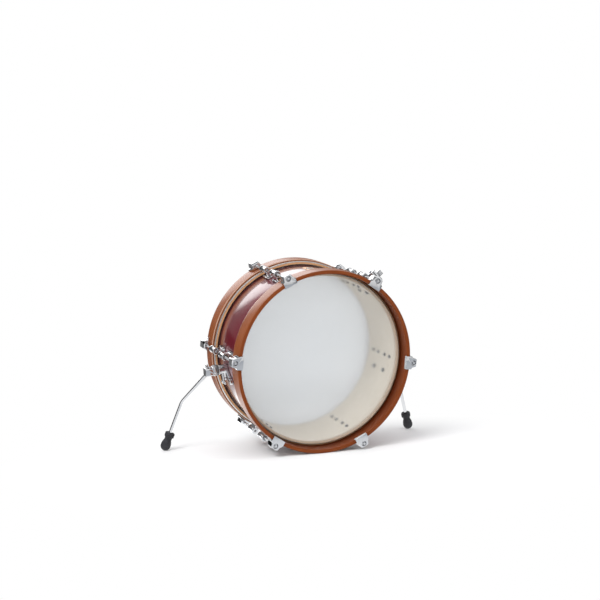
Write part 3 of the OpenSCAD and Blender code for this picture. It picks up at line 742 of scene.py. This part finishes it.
def make_leg(side):
    """Bent chrome rod that ends in a spike inside the rubber foot."""
    bend_reach = 9.5
    path = [LEG_AT - UPPER * (LEG_HEAD - 0.05), LEG_AT - UPPER * (LEG_HEAD - 0.4),
            LEG_AT - UPPER * (LEG_HEAD - 1.3)]
    radii = [LEG_R - 1.4, LEG_R - 0.5, LEG_R]
    start, end = BEND_AT - UPPER * bend_reach, BEND_AT + LOWER * bend_reach
    for k in range(13):
        f = k / 12
        path.append(start * (1 - f) ** 2 + BEND_AT * 2 * f * (1 - f) + end * f ** 2)
        radii.append(LEG_R)
    for height, radius in ((12, LEG_R), (10.5, 3), (-3, 3), (-8.6, 0.8), (-8.9, 0.4)):
        path.append(FOOT_AT - LOWER * height)
        radii.append(radius)
    place = spur_frame(side)
    bm = bmesh.new()
    sweep(bm, [place @ (p * MM) for p in path], [v * MM for v in radii])
    piece(side + "_bent_leg", bm, side + "_spur_leg", None, 30)


def make_foot(side):
    """Rubber foot: round end, moulded parting bead, waist with two ribs, and a socket."""
    ball = [(FOOT_R * math.cos(math.radians(a)), FOOT_R * math.sin(math.radians(a)))
            for a in range(-75, 1, 5)]
    body = [(13.5, 2.4), (13.2, 3.2), (13.3, 4.0), (13.15, 6.0), (12.6, 9.0), (11.6, 12.6),
            (10.3, 16.0), (9.6, 18.2), (9.9, 18.9), (9.9, 19.7), (9.2, 20.4), (9.2, 21.2),
            (9.9, 21.9), (9.9, 22.7), (9.6, 23.2), (10.4, 24.0), (10.9, 25.2), (10.9, 26.4),
            (10.5, 26.9), (5.4, 26.9), (5.05, 26.6), (5.05, -4.0), (3.5, -8.2), (3.5, -12.6)]
    bm = bmesh.new()
    upright = foot_frame(side) @ Matrix.Rotation(math.radians(90), 4, "X")
    lathe(bm, [(r * MM, z * MM) for r, z in ball + body], 96, upright)
    piece(side + "_rubber_foot", bm, side + "_spur_foot", None, 32)


# ---------------------------------------------------------------- build everything

make_shell()
for side in SIDES:
    make_hoop(side)
    make_flesh_hoop(side)
    make_head(side)
    for i in range(1, 7):
        make_rod(side, i)
for side in SPURS:
    make_leg(side)
    make_foot(side)

# How far the hard edges of each CAD node are rounded, in millimetres. Those at 0 stay as they are.
BEVELS = {"air_vent": 0.3, "maker_plate": 0.12, "batter_lugs": 0.8, "front_lugs": 0.8,
          "lug_gaskets": 0.0, "swivel_nuts": 0.3, "lug_screws": 0.35, "lug_washers": 0.2,
          "batter_claws": 0.8, "front_claws": 0.8, "claw_liners": 0.0, "rod_washers": 0.2,
          "spur_gaskets": 0.0, "spur_base_screws": 0.4, "spur_base_washers": 0.2,
          "accessory_base": 0.9, "accessory_gasket": 0.0, "accessory_screws": 0.3,
          "accessory_clamp": 0.8, "accessory_key_bolt": 0.6}
for side in SPURS:
    BEVELS.update({side + "_spur_base": 0.8, side + "_spur_ratchet": 0.25,
                   side + "_spur_pivot": 0.4, side + "_spur_holder": 0.9,
                   side + "_spur_swing_bolt": 0.4, side + "_spur_leg_bolt": 0.4,
                   side + "_foot_ring": 0.7})
CASTINGS = ("_lugs", "_claws", "_base", "_clamp", "_holder")
for node, size in BEVELS.items():
    if size:
        cast = MATERIALS["cast_chrome"] if node.endswith(CASTINGS) else None
        finished(node, size, cast)
    else:
        cad = frame["nodes"][node]
        cad.data.materials.clear()
        cad.data.materials.append(MATERIALS[SLOT_OF[node]])

# ---------------------------------------------------------------- floor, light and studio

def make_floor():
    bm = bmesh.new()
    bmesh.ops.create_circle(bm, cap_ends=True, radius=FLOOR_R, segments=128)
    floor = mesh_object("floor", bm, floor_material())


def softbox(name, at, size, power, aim=(0, 0, 0.25)):
    """A large soft lamp. Glossy surfaces mirror the world's bright panels instead of it."""
    data = bpy.data.lights.new(name, "AREA")
    data.shape = "RECTANGLE"
    data.size, data.size_y = size
    data.energy = power
    light = bpy.data.objects.new(name, data)
    bpy.context.scene.collection.objects.link(light)
    light.location = at
    light.rotation_euler = (Vector(aim) - Vector(at)).to_track_quat("-Z", "Y").to_euler()
    light.visible_camera = False
    light.visible_glossy = False


def grey_ramp(t, fac, levels):
    return t.ramp(fac, [(position, (level,) * 3) for position, level in levels])


def studio_pattern(t):
    """What glossy surfaces mirror: bands by height times walls round about, and one glow."""
    way = t.add("TexCoord").outputs["Generated"]
    xyz = t.add("SeparateXYZ", {0: way}).outputs
    levels = [(0.0, 0.60), (0.25, 0.60), (0.36, 0.75), (0.45, 0.90), (0.485, 0.90), (0.495, 0.02),
              (0.55, 0.02), (0.565, 0.75), (0.70, 0.95), (0.90, 1.3), (0.95, 0.6), (1.0, 0.6)]
    bands = grey_ramp(t, t.fade(xyz[2], -1, 1), levels)
    walls = [(0.0, 0.9), (0.09, 0.9), (0.10, 1.2), (0.24, 1.2), (0.26, 0.12), (0.32, 0.10),
             (0.40, 0.20), (0.48, 0.22), (0.53, 0.8), (0.60, 0.9), (0.615, 0.10), (0.66, 0.10),
             (0.68, 0.9), (0.84, 0.95), (0.855, 0.15), (0.89, 0.15), (0.91, 0.9), (1.0, 0.9)]
    turn = t.math("ARCTAN2", xyz[0], xyz[1])
    panels = grey_ramp(t, t.fade(turn, -math.pi, math.pi), walls)
    pattern = t.mix(1.0, bands, panels, "MULTIPLY")
    glow_way = Vector((0.05, 0.92, 0.42)).normalized()
    facing = t.add("VectorMath", {0: way, 1: glow_way}, operation="DOT_PRODUCT").outputs["Value"]
    rim, core = math.cos(math.radians(20)), math.cos(math.radians(13))
    return t.mix(t.fade(facing, rim, core, smooth=True), pattern, (2.8, 2.8, 2.8))


def make_world():
    """White behind the drum for the camera; a studio with bright and dark walls in reflections."""
    t = Tree(bpy.data.worlds.new("studio"), "OutputWorld")
    room = t.add("Background", {0: studio_pattern(t), 1: 1.0}).outputs[0]
    white = t.add("Background", {0: (1, 1, 1), 1: 1.0}).outputs[0]
    soft = t.add("Background", {0: (0.80, 0.81, 0.83), 1: 1.0}).outputs[0]
    rays = t.add("LightPath").outputs
    mixed = t.add("MixShader", {0: rays["Is Diffuse Ray"], 1: room, 2: soft}).outputs[0]
    for kind in ("Is Transmission Ray", "Is Camera Ray"):
        mixed = t.add("MixShader", {0: rays[kind], 1: mixed, 2: white}).outputs[0]
    bpy.context.scene.world = t.finish(mixed)


make_floor()
make_world()
softbox("key", (-2.2, -1.8, 2.6), (1.6, 1.2), 70)
softbox("right_strip", (2.4, -1.2, 1.4), (0.5, 1.8), 10)
softbox("back", (0.6, 2.8, 1.8), (2.4, 1.6), 50)
softbox("low_left", (-2.2, -1.6, 0.5), (1.2, 0.8), 10)

scene = bpy.context.scene
scene.view_settings.view_transform = "Standard"
scene.cycles.transparent_max_bounces = 16
scene.cycles.sample_clamp_indirect = 4
scene.cycles.caustics_reflective = False
scene.cycles.caustics_refractive = False
